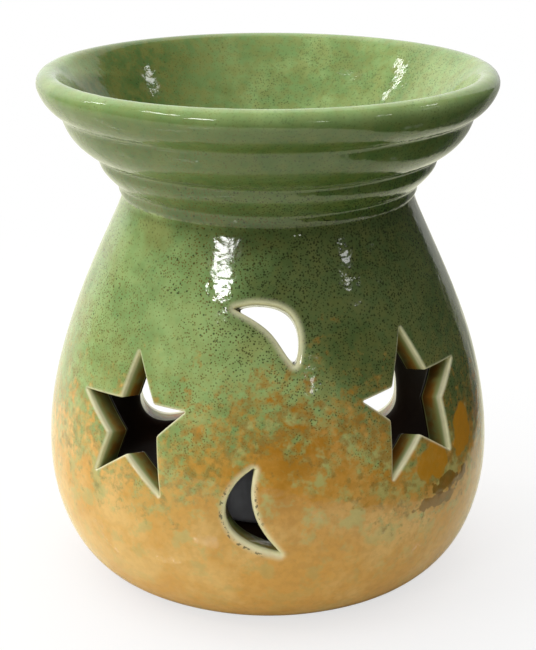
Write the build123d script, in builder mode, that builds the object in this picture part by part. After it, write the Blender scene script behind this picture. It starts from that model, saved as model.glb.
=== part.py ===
# Essential oil burner: a ringed dish for water and oil, on a pear-shaped chamber with a tea light
# in it. Lengths are in millimetres. The origin is the middle of the base, +Z is up, the front is
# -Y, and the large opening that the tea light goes through faces +Y.
import os
from math import asin, degrees

from build123d import *

os.makedirs("parts", exist_ok=True)

# Outside of the whole burner
overall_height = 110.0
waist_height = 83.5
belly_height = 26.0
rim_radius = 48.4
waist_radius = 31.2
belly_radius = 48.9
foot_radius = 33.4

# Chamber: its wall, its floor and the recess under the foot
chamber_wall = 7.0
floor_thickness = 7.5
floor_corner_round = 3.0
foot_recess_depth = 4.5
foot_ring_width = 7.0
foot_ring_round = 1.0
# Where the wall passes between belly and waist: share of the way in, share of the way up
wall_shares = ((0.19, 0.37), (0.525, 0.667), (0.862, 0.887))
waist_slope = (-0.3, 1)

# Dish: rolled rim, three rings and a small ridge under it, and the hollow
rim_roll_radius = 2.6
rim_roll_start_angle = -6.0
rim_roll_end_angle = 140.0
dish_floor_thickness = 6.0
# Creases from the ridge up to the highest ring, and the points that the ridge and the rings bend
# towards: share of the way out from waist to rim, share of the way up
ring_crease_shares = ((0.032, 0.098), (0.27, 0.367), (0.723, 0.747))
ring_bend_shares = ((0.078, 0.048), (0.342, 0.283), (0.655, 0.496), (0.933, 0.825))
# Where the hollow's side passes: share of the rim's inner radius, share of the hollow's depth
hollow_shares = ((0.745, 0.25),)

# Opening at the back for the tea light
sill_height = 15.0
doorway_radius = 31.5
doorway_spring_height = 24.5
doorway_corner_round = 8.5
doorway_lip_round = 2.2

# Cut-outs: turn about the axis from the front in degrees, share of the way along the upper wall,
# and for a moon the tilt of the line between its horns
star_reach = 15.5
left_star_turn = -37.7
left_star_height_share = 0.30
right_star_turn = 41.5
right_star_height_share = 0.365
# Corners of each hand-cut star: angle about its middle, share of its reach
left_star_shares = (
    (91, 1.00), (46, 0.52), (25, 0.90), (-2, 0.47), (-53, 1.00),
    (-84, 0.36), (-125, 0.88), (-152, 0.34), (-198, 0.945), (-244, 0.38),
)
right_star_shares = (
    (91, 1.04), (55, 0.48), (24, 1.02), (-4, 0.48), (-54, 0.95),
    (-92, 0.40), (-122, 1.03), (-169, 0.47), (-197, 0.85), (-222, 0.47),
)
upper_moon_turn = -1.1
upper_moon_height_share = 0.64
upper_moon_length = 16.6
upper_moon_tilt = -42.9
lower_moon_turn = 0.0
lower_moon_height_share = 0.07
lower_moon_length = 19.1
lower_moon_tilt = 105.8
# Back and inner side of each moon: share of its length along, share of its length out
upper_moon_back_shares = ((0.084, 0.125), (0.293, 0.316), (0.507, 0.399), (0.725, 0.33), (0.896, 0.168))
upper_moon_inner_shares = ((0.299, 0.071), (0.545, 0.086), (0.826, 0.029))
lower_moon_back_shares = (
    (0.105, 0.165), (0.255, 0.328), (0.437, 0.426), (0.633, 0.419), (0.801, 0.321), (0.928, 0.166),
)
lower_moon_inner_shares = ((0.222, 0.089), (0.501, 0.143), (0.792, 0.098))

# Tea light
seat_gap = 0.3
cup_radius = 19.0
cup_height = 15.5
cup_wall = 0.4
cup_bead_radius = 0.5
cup_base_round = 1.5
wax_below_rim = 2.0
wick_radius = 0.7
wick_above_wax = 6.0
tab_radius = 6.0
tab_thickness = 0.4
tab_collar_wall = 0.4
tab_collar_height = 3.0

# How far a cut runs past the surfaces that it opens
overrun = 5.0

floor_height = foot_recess_depth + floor_thickness
tealight_base = floor_height + seat_gap
wax_base = tealight_base + cup_wall
wax_top = tealight_base + cup_height - wax_below_rim


def upper_side(inset):
    """Draw the side from belly to waist, inset from the outside, upright where it leaves the belly."""
    run_in = belly_radius - waist_radius
    rise = waist_height - belly_height
    belly = Vector(belly_radius - inset, belly_height)
    between = [belly + (-run_in * way_in, rise * way_up) for way_in, way_up in wall_shares]
    waist = belly + (-run_in, rise)
    return Spline(belly, *between, waist, tangents=[(0, 1), waist_slope])


def pear_outline(inset, start_height):
    """Draw half of the pear's section from start_height to the waist, inset from the outside."""
    start_angle = degrees(asin((start_height - belly_height) / belly_height))
    lower = EllipticalCenterArc(
        (foot_radius - inset, belly_height),
        belly_radius - foot_radius,
        belly_height,
        start_angle=start_angle,
        arc_size=-start_angle,
    )
    upper = upper_side(inset)
    Polyline(lower @ 0, (0, start_height), (0, waist_height), upper @ 1)


def wall_plane(turn, height_share):
    """Give the plane that touches the outside wall, turned from the front by turn degrees."""
    spot = outer_side @ height_share
    rise = outer_side % height_share
    return Plane(
        origin=Vector(0, -spot.X, spot.Y).rotate(Axis.Z, turn),
        x_dir=Vector(1, 0, 0).rotate(Axis.Z, turn),
        z_dir=Vector(0, -rise.Y, -rise.X).rotate(Axis.Z, turn),
    )


def cut_through_wall(profile):
    """Cut a profile on the outside wall straight through it."""
    extrude(profile, amount=overrun, mode=Mode.SUBTRACT)
    extrude(profile, amount=-chamber_wall - overrun, mode=Mode.SUBTRACT)


def star(plane, corner_shares):
    """Sketch a hand-cut star on a plane."""
    with BuildSketch(plane) as outline:
        with BuildLine():
            Polyline(
                [
                    Vector(star_reach * share, 0).rotate(Axis.Z, angle)
                    for angle, share in corner_shares
                ],
                close=True,
            )
        make_face()
    return outline.sketch


def moon(plane, length, tilt, side_shares):
    """Sketch a crescent moon on a plane, with the line between its horns tilted."""
    horns = [Vector(-length / 2, 0), Vector(length / 2, 0)]
    with BuildSketch(plane) as outline:
        with BuildLine():
            for shares in side_shares:
                between = [horns[0] + (length * along, length * out) for along, out in shares]
                side = [horns[0], *between, horns[1]]
                Spline([point.rotate(Axis.Z, tilt) for point in side])
        make_face()
    return outline.sketch


with BuildLine() as outer_line:
    upper_side(0)
outer_side = outer_line.line

# Chamber: a pear with a flat recessed foot, a doorway at the back, two stars and two moons
with BuildPart() as burner_body:
    with BuildSketch(Plane.XZ):
        with BuildLine():
            pear_outline(0, 0)
        make_face()
    revolve(axis=Axis.Z)

    with BuildSketch(Plane.XZ) as chamber_half:
        with BuildLine():
            pear_outline(chamber_wall, floor_height)
        make_face()
        floor_corners = chamber_half.vertices().group_by(Axis.Y)[0]
        fillet(floor_corners.sort_by(Axis.X)[-1], radius=floor_corner_round)
    revolve(axis=Axis.Z, mode=Mode.SUBTRACT)

    with BuildSketch(Plane.XY):
        Circle(foot_radius - foot_ring_width)
    extrude(amount=foot_recess_depth, mode=Mode.SUBTRACT)
    fillet(
        burner_body.edges().filter_by(GeomType.CIRCLE).group_by(Axis.Z)[0].sort_by(SortBy.RADIUS)[0],
        radius=foot_ring_round,
    )

    with BuildSketch(Plane.XZ) as doorway:
        with Locations((0, doorway_spring_height)):
            Circle(doorway_radius)
        with Locations((0, sill_height)):
            Rectangle(
                2 * doorway_radius,
                doorway_spring_height - sill_height,
                align=(Align.CENTER, Align.MIN),
            )
        with Locations((0, sill_height)):
            Rectangle(
                2 * doorway_radius,
                doorway_radius,
                align=(Align.CENTER, Align.MAX),
                mode=Mode.SUBTRACT,
            )
        fillet(doorway.vertices().group_by(Axis.Y)[0], radius=doorway_corner_round)
    extrude(amount=-belly_radius - overrun, mode=Mode.SUBTRACT)
    fillet(burner_body.edges(Select.LAST).filter_by(Axis.Y, reverse=True), radius=doorway_lip_round)

    cut_through_wall(star(wall_plane(left_star_turn, left_star_height_share), left_star_shares))
    cut_through_wall(star(wall_plane(right_star_turn, right_star_height_share), right_star_shares))
    cut_through_wall(
        moon(
            wall_plane(upper_moon_turn, upper_moon_height_share),
            upper_moon_length,
            upper_moon_tilt,
            (upper_moon_back_shares, upper_moon_inner_shares),
        )
    )
    cut_through_wall(
        moon(
            wall_plane(lower_moon_turn, lower_moon_height_share),
            lower_moon_length,
            lower_moon_tilt,
            (lower_moon_back_shares, lower_moon_inner_shares),
        )
    )

# Dish: a ridge and three rings swell between creases up to the rolled rim, over a closed bottom
roll_centre = Vector(rim_radius - rim_roll_radius, overall_height - rim_roll_radius)
dish_floor_height = waist_height + dish_floor_thickness
with BuildPart() as dish:
    with BuildSketch(Plane.XZ):
        with BuildLine():
            roll = CenterArc(
                roll_centre,
                rim_roll_radius,
                start_angle=rim_roll_start_angle,
                arc_size=rim_roll_end_angle - rim_roll_start_angle,
            )
            waist = Vector(waist_radius, waist_height)
            flare = Vector(rim_radius, roll_centre.Y) - waist
            creases, bends = (
                [waist + (flare.X * way_out, flare.Y * way_up) for way_out, way_up in shares]
                for shares in (ring_crease_shares, ring_bend_shares)
            )
            for start, bend, end in zip([waist, *creases], bends, [*creases, roll @ 0]):
                Bezier(start, bend, end)
            inner_rim = roll @ 1
            depth = inner_rim.Y - dish_floor_height
            side = [
                (inner_rim.X * way_out, dish_floor_height + depth * way_up)
                for way_out, way_up in hollow_shares
            ]
            hollow = Spline(
                inner_rim,
                *side,
                (0, dish_floor_height),
                tangents=[roll % 1, (-1, 0)],
            )
            Polyline(hollow @ 1, (0, waist_height), waist)
        make_face()
    revolve(axis=Axis.Z)

# Tea light: a pressed cup with a beaded rim, its wax, its wick and the tab that holds the wick
def cup_half(inset, height):
    """Sketch half of a round shape that fills the cup from its floor up, inset from its outside."""
    with BuildSketch(Plane.XZ) as half:
        with Locations((0, tealight_base + inset)):
            Rectangle(cup_radius - inset, height, align=(Align.MIN, Align.MIN))
        floor_corner = half.vertices().group_by(Axis.Y)[0].sort_by(Axis.X)[-1]
        fillet(floor_corner, radius=cup_base_round - inset)
    return half.sketch


with BuildPart() as tealight_cup:
    revolve(cup_half(0, cup_height), axis=Axis.Z)
    with BuildSketch(Plane.XZ):
        with Locations((cup_radius - cup_wall / 2, tealight_base + cup_height)):
            Circle(cup_bead_radius)
    revolve(axis=Axis.Z)
    revolve(cup_half(cup_wall, cup_height), axis=Axis.Z, mode=Mode.SUBTRACT)

with BuildPart() as wick_tab:
    with BuildSketch(Plane.XY.offset(wax_base)):
        Circle(tab_radius)
    extrude(amount=tab_thickness)
    with BuildSketch(Plane.XY.offset(wax_base + tab_thickness)):
        Circle(wick_radius + tab_collar_wall)
        Circle(wick_radius, mode=Mode.SUBTRACT)
    extrude(amount=tab_collar_height)

wick_base = wax_base + tab_thickness
with BuildPart() as tealight_wick:
    with BuildSketch(Plane.XY.offset(wick_base)):
        Circle(wick_radius)
    extrude(amount=wax_top + wick_above_wax - wick_base)

with BuildPart() as tealight_wax:
    revolve(cup_half(cup_wall, wax_top - wax_base), axis=Axis.Z)
    add(wick_tab.part, mode=Mode.SUBTRACT)
    add(tealight_wick.part, mode=Mode.SUBTRACT)

burner_body.part.label = "burner_body"
export_step(burner_body.part, "parts/burner_body.step")
dish.part.label = "dish"
export_step(dish.part, "parts/dish.step")
tealight_cup.part.label = "tealight_cup"
export_step(tealight_cup.part, "parts/tealight_cup.step")
tealight_wax.part.label = "tealight_wax"
export_step(tealight_wax.part, "parts/tealight_wax.step")
tealight_wick.part.label = "tealight_wick"
export_step(tealight_wick.part, "parts/tealight_wick.step")
wick_tab.part.label = "wick_tab"
export_step(wick_tab.part, "parts/wick_tab.step")
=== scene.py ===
"""Essential oil burner: a dish for water and oil over a pear-shaped chamber with a tea light in it.

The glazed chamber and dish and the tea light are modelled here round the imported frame, in metres.
The front is -Y, up is +Z and the middle of the base is the origin.
"""

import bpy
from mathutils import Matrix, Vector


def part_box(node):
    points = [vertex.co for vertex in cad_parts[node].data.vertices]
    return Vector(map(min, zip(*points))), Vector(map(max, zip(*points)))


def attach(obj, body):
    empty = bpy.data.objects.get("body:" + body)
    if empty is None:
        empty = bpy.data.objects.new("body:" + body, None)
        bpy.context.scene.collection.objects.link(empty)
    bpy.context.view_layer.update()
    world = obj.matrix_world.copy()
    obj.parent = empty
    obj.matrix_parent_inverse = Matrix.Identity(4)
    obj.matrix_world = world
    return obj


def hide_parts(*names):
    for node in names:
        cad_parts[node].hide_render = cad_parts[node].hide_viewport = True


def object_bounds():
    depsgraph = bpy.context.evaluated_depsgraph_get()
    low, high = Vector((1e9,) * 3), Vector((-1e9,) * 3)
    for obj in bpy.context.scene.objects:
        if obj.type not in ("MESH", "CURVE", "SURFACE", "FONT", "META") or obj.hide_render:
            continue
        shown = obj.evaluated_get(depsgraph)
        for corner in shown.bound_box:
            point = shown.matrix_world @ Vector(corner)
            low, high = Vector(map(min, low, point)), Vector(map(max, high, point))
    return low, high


bl_info = {
    "name": "Essential oil burner",
    "version": (1, 0, 0),
    "blender": (4, 5, 0),
    "location": "3D View > Sidebar > Oil burner",
    "description": "Models a glazed oil burner with cut-out stars and moons, its tea light and its stage",
    "category": "Add Mesh",
}

from math import cos, pi, radians, sin

import bmesh
import bpy
import numpy as np
from mathutils import Vector
from mathutils.geometry import delaunay_2d_cdt

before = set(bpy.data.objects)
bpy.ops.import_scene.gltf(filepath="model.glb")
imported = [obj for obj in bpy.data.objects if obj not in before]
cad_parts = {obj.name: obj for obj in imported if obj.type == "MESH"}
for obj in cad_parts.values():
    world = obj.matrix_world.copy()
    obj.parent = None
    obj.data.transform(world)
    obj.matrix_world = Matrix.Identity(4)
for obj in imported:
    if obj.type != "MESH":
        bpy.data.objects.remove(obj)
CAD_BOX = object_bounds()

_, BODY_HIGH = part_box("burner_body")
DISH_LOW, DISH_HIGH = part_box("dish")
CUP_LOW, CUP_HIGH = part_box("tealight_cup")
WAX_LOW, WAX_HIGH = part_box("tealight_wax")
WICK_LOW, WICK_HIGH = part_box("tealight_wick")

# Outline of the chamber: shares of the way in and up between the belly and the waist
WALL_SHARES = ((0.182, 0.374), (0.52, 0.663), (0.853, 0.889))
WAIST_SLOPE = (-0.3, 1.0)

# Outline of the dish: the creases above the small ridge and the rings, and the points that ridge and
# rings bend towards, as shares of the way out and up; then where the hollow's side passes
CREASE_SHARES = ((0.032, 0.098), (0.27, 0.367), (0.723, 0.747))
BEND_SHARES = ((0.078, 0.048), (0.342, 0.283), (0.655, 0.496), (0.933, 0.825))
HOLLOW_SHARES = ((0.745, 0.25),)
RIM_ROLL_START = radians(-6)
RIM_ROLL_END = radians(140)

# Cut-outs: turn from the front, height of the middle, and the shape about it
STAR_REACH = 0.0155
LEFT_STAR_PLACE = (radians(-37.7), 0.0438)
RIGHT_STAR_PLACE = (radians(41.5), 0.0475)
LEFT_STAR_SHARES = (
    (91, 1.00), (46, 0.52), (25, 0.90), (-2, 0.47), (-53, 1.00),
    (-84, 0.36), (-125, 0.88), (-152, 0.34), (-198, 0.945), (-244, 0.38),
)
RIGHT_STAR_SHARES = (
    (91, 1.04), (55, 0.48), (24, 1.02), (-4, 0.48), (-54, 0.95),
    (-92, 0.40), (-122, 1.03), (-169, 0.47), (-197, 0.85), (-222, 0.47),
)
# Moons: points on the back and on the inner side, as shares of the length along and out
UPPER_MOON_PLACE = (radians(-1.1), 0.0639)
UPPER_MOON = {
    "length": 0.0166,
    "tilt": radians(-42.9),
    "back_shares": ((0.084, 0.125), (0.293, 0.316), (0.507, 0.399), (0.725, 0.33), (0.896, 0.168)),
    "inner_shares": ((0.299, 0.071), (0.545, 0.086), (0.826, 0.029)),
}
LOWER_MOON_PLACE = (radians(0.0), 0.0301)
LOWER_MOON = {
    "length": 0.0191,
    "tilt": radians(105.8),
    "back_shares": ((0.105, 0.165), (0.255, 0.328), (0.437, 0.426), (0.633, 0.419), (0.801, 0.321),
                    (0.928, 0.166)),
    "inner_shares": ((0.222, 0.089), (0.501, 0.143), (0.792, 0.098)),
}
DOORWAY_SILL = 0.015
DOORWAY_RADIUS = 0.0315
DOORWAY_SPRING = 0.0245
DOORWAY_CORNER = 0.0085
# How far from its frame each opening's axis can meet the wall
WALL_CUT_REACH = (-0.03, 0.02)
DOORWAY_REACH = (0.0, 0.06)

# Finish of the clay: where the hand's wave fades towards the axis, and the reach over which an
# outline's bend is read
WAVE_FADE = 0.01
POOL_REACH = 0.0007
MILLIMETRE = 0.001

# Fineness of the surfaces
COLUMNS = 240
OUTER_STEP = 0.00105
INNER_STEP = 0.0014
OUTLINE_STEP = 0.00055
FINE_STEP = 0.0001
LIP_ANGLES = np.radians((0, 16, 32, 48, 66, 90))
CORNER_RUN = 0.0009
SEAM_TURN = radians(95)
EDGE_REACH = 0.006
MEAN_RADIUS = 0.044
FLOOR_DISC = 0.022
FOOT_ROUND = 0.001
STAR_SOFTNESS = (0.00022, 0.00035)
MOON_SOFTNESS = (0.0003, 0.0017)
STAR_HALO = 0.0008
MOON_HALO = 0.0019
DOORWAY_HALO = 0.004
TUNNEL_ROWS = 9
DISH_COLUMNS = 288
DISH_STEP = 0.0007
DISH_BOTTOM_STEP = 0.003
FLOOR_STEP = 0.002
MERGE_REACH = 0.000002
CUP_COLUMNS = 384
CUP_STEP = 0.0005
WAX_ROWS = 50
WAX_COLUMNS = 96
WICK_ROWS = 90
WICK_COLUMNS = 24
SHARP_ANGLE = radians(50)
# Times that a distance along a cut's axis is halved, and fine points each way that give the wall's slope
HALVINGS = 34
SLOPE_SPAN = 5
# Points round an opening, in steps: the last ring beyond the lip, and the wall's own first points; and
# the share of its distance that a ring's point keeps from the whole outline
LAST_RING = 0.55
FIRST_POINTS = 1.15
KEPT_SHARE = 0.98

# Wax and wick: how far the wax creeps up the cup and the wick and sinks between them, how the wick
# leans, its strands, how far they wind as an angle, and how thick it is beside the CAD's
WAX_CREEP = 0.0006
WAX_CREEP_REACH = 0.0012
WICK_CREEP = 0.0005
WAX_SINK = 0.0003
WICK_LEAN = 0.0009
WICK_BRAID = 0.1
WICK_STRANDS = 3
WICK_TWIST = 44 * pi
WICK_SHARE = 0.96

# Runs in the glaze by the right star: middle, reach each way, size and share of the noise that breaks
# their edges up, and how strongly they cover
STAINS = (
    ((0.0404, -0.0246, 0.0382), (0.0026, 0.0060, 0.0058), 0.004, 1.2, 0.85),
    ((0.0342, -0.0342, 0.0345), (0.0044, 0.0060, 0.0036), 0.004, 1.4, 0.8),
    ((0.0375, -0.0310, 0.0290), (0.0052, 0.0070, 0.0020), 0.003, 2.6, 0.8),
    ((0.0345, -0.0345, 0.0262), (0.0056, 0.0070, 0.0014), 0.003, 2.2, 0.75),
)

# Stage: floor, surroundings, and each lamp's turn, rise, size and glow
FLOOR_REACH = 4.0
FLOOR_FADE = (0.06, 0.30)
FLOOR_SHADOW = 0.7
SIDE_LIGHT = (1.85, 0.15)
TOP_LIGHT = 0.92
FRONT_LIGHT = 0.04
FLOOR_FRONT = -0.25
FLOOR_SIDE = (0.07, 0.13, 0.95)
FILL_LIGHT = (0.0, 24.0, (0.06, 0.06), 50.0)
LAMP_DISTANCE = 1.0
SOFTBOXES = (
    ("window_left", -33, 30.4, (0.20, 0.075), 24.0),
    ("window_right", 59, 28.4, (0.09, 0.044), 7.0),
    ("panel_right", 86, 27, (0.22, 0.10), 0.9),
    ("window_small", 24, 17, (0.06, 0.05), 9.0),
    ("window_high", -62, 46, (0.28, 0.05), 20.0),
    ("window_narrow", -108, 36, (0.03, 0.26), 16.0),
    ("window_far_right", 98, 40, (0.10, 0.08), 8.0),
)


def srgb(red, green, blue):
    """Colour as read on a screen, 0 to 255, turned into the linear values that shaders take."""
    shares = np.array((red, green, blue)) / 255
    linear = np.where(shares <= 0.04045, shares / 12.92, ((shares + 0.055) / 1.055) ** 2.4)
    return tuple(float(value) for value in linear)


def length_property(name, description, metres):
    """Length that a user can change."""
    return bpy.props.FloatProperty(name=name, description=description, default=metres, unit="LENGTH")


def colour_property(name, description, red, green, blue):
    """Colour that a user can change, with its default as read on a screen."""
    return bpy.props.FloatVectorProperty(
        name=name, description=description, default=srgb(red, green, blue), subtype="COLOR")


class BurnerShape(bpy.types.PropertyGroup):
    """Sizes of the glazed clay."""

    wall: length_property("Wall", "Thickness of the chamber's wall", 0.007)
    floor_height: length_property("Floor height", "Height of the chamber's floor above the table", 0.012)
    floor_corner: length_property("Floor corner", "Round where the chamber's floor meets its wall", 0.003)
    foot_radius: length_property("Foot radius", "Radius of the flat foot", 0.0334)
    foot_ring: length_property("Foot ring", "Width of the ring that the burner stands on", 0.007)
    foot_recess: length_property("Foot recess", "Depth of the hollow under the foot", 0.0045)
    waist_radius: length_property("Waist radius", "Radius where the dish sits on the chamber", 0.0312)
    belly_height: length_property("Belly height", "Height where the chamber is widest", 0.026)
    rim_roll: length_property("Rim roll", "Radius of the dish's rolled rim", 0.0026)
    dish_floor: length_property("Dish floor", "Thickness of the dish's bottom", 0.006)
    crease_softness: length_property(
        "Crease softness", "How far the glaze softens the creases and corners", 0.00045)
    star_lip_round: length_property("Star lip round", "Round of the stars' edges", 0.0007)
    moon_lip_round: length_property("Moon lip round", "Round of the moons' edges", 0.0013)
    doorway_lip_round: length_property("Doorway lip round", "Round of the doorway's outer edge", 0.0026)
    inner_lip_round: length_property(
        "Inner lip round", "Round of each opening's edge inside the chamber", 0.0012)
    hand_wave: length_property("Hand wave", "How far the clay strays from a true round", 0.00012)


class GlazeColours(bpy.types.PropertyGroup):
    """Colours of the glaze."""

    fresh_green: colour_property("Fresh green", "Lightest green of the upper glaze", 166, 193, 124)
    leaf_green: colour_property("Leaf green", "Middle green of the upper glaze", 134, 166, 102)
    # Olive also paints shade just under the dish.
    olive: colour_property("Olive", "Dark drift of the upper glaze, and its creases", 58, 72, 30)
    straw: colour_property("Straw", "Yellow-brown clouds of the upper glaze", 156, 138, 70)
    speck: colour_property("Speck", "Tiny dark dots, and marks by the lower moon", 42, 46, 22)
    freckle: colour_property("Freckle", "Tiny brown dots on the left of the upper glaze", 112, 88, 36)
    rust: colour_property("Rust", "Orange-brown mottles where the two glazes meet", 156, 112, 44)
    honey: colour_property("Honey", "Main colour of the lower glaze", 230, 170, 76)
    biscuit: colour_property("Biscuit", "Pale clouds of the lower glaze", 244, 198, 120)
    amber: colour_property("Amber", "Deep clouds of the lower glaze", 180, 126, 38)
    sage: colour_property("Sage", "Pale green spots in the lower glaze", 186, 190, 122)
    cream: colour_property("Cream", "Thin glaze along the edges of the cut-outs", 248, 244, 204)
    amber_run: colour_property("Amber run", "Runs of amber glaze beside the right star", 196, 134, 20)
    brown_run: colour_property("Brown run", "Dark runs low on the right", 122, 84, 12)
    # Ring green: the rings' deeper glaze, also painted shade under the rim and on the hollow's left side.
    ring_green_and_shade: colour_property(
        "Deep green", "Green of the rings and of the hollow's shaded side", 56, 86, 30)
    lip_sage: colour_property("Lip sage", "Thin glaze just inside the cut-outs' edges", 166, 178, 116)
    tunnel_brown: colour_property("Tunnel brown", "Glaze in the cut-outs", 158, 106, 40)
    # Chamber colour: brown glaze darkened as painted shade, also deep in the cut-outs.
    chamber_brown_and_shade: colour_property("Chamber brown", "Glaze inside the chamber", 40, 24, 10)


class TealightLooks(bpy.types.PropertyGroup):
    """Sizes and colours of the tea light."""

    flutes: bpy.props.IntProperty(
        name="Flutes", description="Number of faint pleats in the pressed cup's side", default=48)
    flute_depth: length_property("Flute depth", "Depth of the pleats", 0.00012)
    bead: length_property("Bead", "Radius of the cup's rolled edge", 0.0005)
    cup_wall: length_property("Cup wall", "Thickness of the cup", 0.0004)
    cup_corner: length_property("Cup corner", "Round at the foot of the cup", 0.0015)
    wick_radius: length_property("Wick radius", "Radius of the wick", 0.0007)
    metal: colour_property("Metal", "Colour of the pressed cup", 214, 216, 219)
    wax: colour_property("Wax", "Colour of the wax", 240, 236, 222)
    cotton: colour_property("Cotton", "Colour of the wick", 232, 224, 200)


class StageLooks(bpy.types.PropertyGroup):
    """Floor and camera."""

    floor: bpy.props.FloatVectorProperty(
        name="Floor", description="Colour of the floor", default=(0.86, 0.86, 0.86), subtype="COLOR")
    camera_place: bpy.props.FloatVectorProperty(
        name="Camera", description="Place of the camera", default=(0.0, -0.31612, 0.16428),
        subtype="TRANSLATION", unit="LENGTH")
    camera_tilt: bpy.props.FloatProperty(
        name="Tilt", description="How far the camera looks down from level",
        default=radians(19.494), subtype="ANGLE")
    lens: bpy.props.FloatProperty(
        name="Lens", description="Focal length of the camera in millimetres", default=83.6)


def spline_through(points, count, start=None, end=None):
    """Curve through points: a cubic of the distance along the chords between each two, whose slope
    and bend carry on past each point. It leaves and arrives along start and end, or unbent."""
    points = np.array(points, dtype=float)
    chords = np.linalg.norm(np.diff(points, axis=0), axis=1)
    steps = np.diff(points, axis=0) / chords[:, None]
    size = len(points)
    before, after = chords[:-1], chords[1:]
    inner = np.arange(1, size - 1)
    matrix = np.zeros((size, size))
    matrix[inner, inner - 1] = after
    matrix[inner, inner] = 2 * (before + after)
    matrix[inner, inner + 1] = before
    right = np.zeros_like(points)
    right[inner] = 3 * (after[:, None] * steps[:-1] + before[:, None] * steps[1:])
    for row, beside, tangent, step in ((0, 1, start, steps[0]), (size - 1, size - 2, end, steps[-1])):
        if tangent is None:
            matrix[row, row], matrix[row, beside], right[row] = 2, 1, 3 * step
        else:
            matrix[row, row], right[row] = 1, np.array(tangent) / np.linalg.norm(tangent)
    slopes = np.linalg.solve(matrix, right)
    knots = np.concatenate(([0], np.cumsum(chords)))
    along = np.linspace(0, knots[-1], count)
    piece = np.clip(np.searchsorted(knots, along, side="right") - 1, 0, size - 2)
    width = chords[piece][:, None]
    share = ((along - knots[piece]) / chords[piece])[:, None]
    return (
        points[piece] * (1 + 2 * share) * (1 - share) ** 2
        + points[piece + 1] * (3 - 2 * share) * share**2
        + slopes[piece] * width * share * (1 - share) ** 2
        - slopes[piece + 1] * width * share**2 * (1 - share)
    )


def arc(centre, radius, start, end, count=48):
    """Points on an arc about a centre, by angle from start to end, an ellipse's for a pair of radii."""
    angles = np.linspace(start, end, count)
    return np.array(centre) + np.array(radius) * np.column_stack((np.cos(angles), np.sin(angles)))


def bent(start, bend, end, count=48):
    """Curve from start to end that leaves and arrives in line with a third point, bend: a share t of
    the way along it, it stands at (1 - t)^2 start + 2 t (1 - t) bend + t^2 end."""
    share = np.linspace(0, 1, count)[:, None]
    return (1 - share) ** 2 * start + 2 * share * (1 - share) * bend + share**2 * end


def even_steps(points, step, closed=False):
    """The same line with its points at even distances of about one step."""
    if closed:
        points = np.vstack((points, points[:1]))
    lengths = np.linalg.norm(np.diff(points, axis=0), axis=1)
    run = np.concatenate(([0], np.cumsum(lengths)))
    count = max(int(round(run[-1] / step)), 3)
    along = np.linspace(0, run[-1], count + 1)
    even = np.column_stack([np.interp(along, run, column) for column in points.T])
    return even[:-1] if closed else even


def closer_at_corners(points, step):
    """Where along a closed line of fine points to keep one, about a step apart and closer the more the
    line turns, as a count of fine points: a turn of one radian counts as CORNER_RUN more length."""
    ahead = np.roll(points, -1, axis=0) - points
    angle = np.unwrap(np.arctan2(ahead[:, 1], ahead[:, 0]))
    turn = np.abs(np.diff(angle, append=angle[:1] + 2 * pi * round((angle[-1] - angle[0]) / 2 / pi)))
    run = np.concatenate(([0], np.cumsum(np.linalg.norm(ahead, axis=1) + CORNER_RUN * turn)))
    count = int(round(run[-1] / step))
    return np.interp(np.linspace(0, run[-1], count + 1)[:-1], run, np.arange(len(run)))


def inside(polygon, places):
    """Which flat places lie inside a closed polygon, by how often a level line crosses it."""
    x0, y0 = polygon.T
    x1, y1 = np.roll(polygon, -1, axis=0).T
    found = np.zeros(len(places), dtype=bool)
    near = np.flatnonzero(((places > polygon.min(axis=0)) & (places < polygon.max(axis=0))).all(axis=1))
    px, py = places[near, 0][:, None], places[near, 1][:, None]
    spans = (y0 > py) != (y1 > py)
    with np.errstate(divide="ignore", invalid="ignore"):
        crossing = x0 + (py - y0) * (x1 - x0) / (y1 - y0)
    found[near] = (spans & (px < crossing)).sum(axis=1) % 2 == 1
    return found


def softened(points, reach, closed=False):
    """Line of even fine steps whose corners are rounded: each point becomes the mean of those round
    it, weighted by a bell curve of that reach. The ends of an open line stay."""
    half = int(4 * reach / FINE_STEP)
    weights = np.exp(-0.5 * (np.arange(-half, half + 1) * FINE_STEP / reach) ** 2)
    weights /= weights.sum()
    if closed:
        padded = np.vstack((points[-half:], points, points[:half]))
    else:
        before = 2 * points[0] - points[half:0:-1]
        after = 2 * points[-1] - points[-2:-half - 2:-1]
        padded = np.vstack((before, points, after))
    return np.column_stack([np.convolve(column, weights, mode="valid") for column in padded.T])


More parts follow.
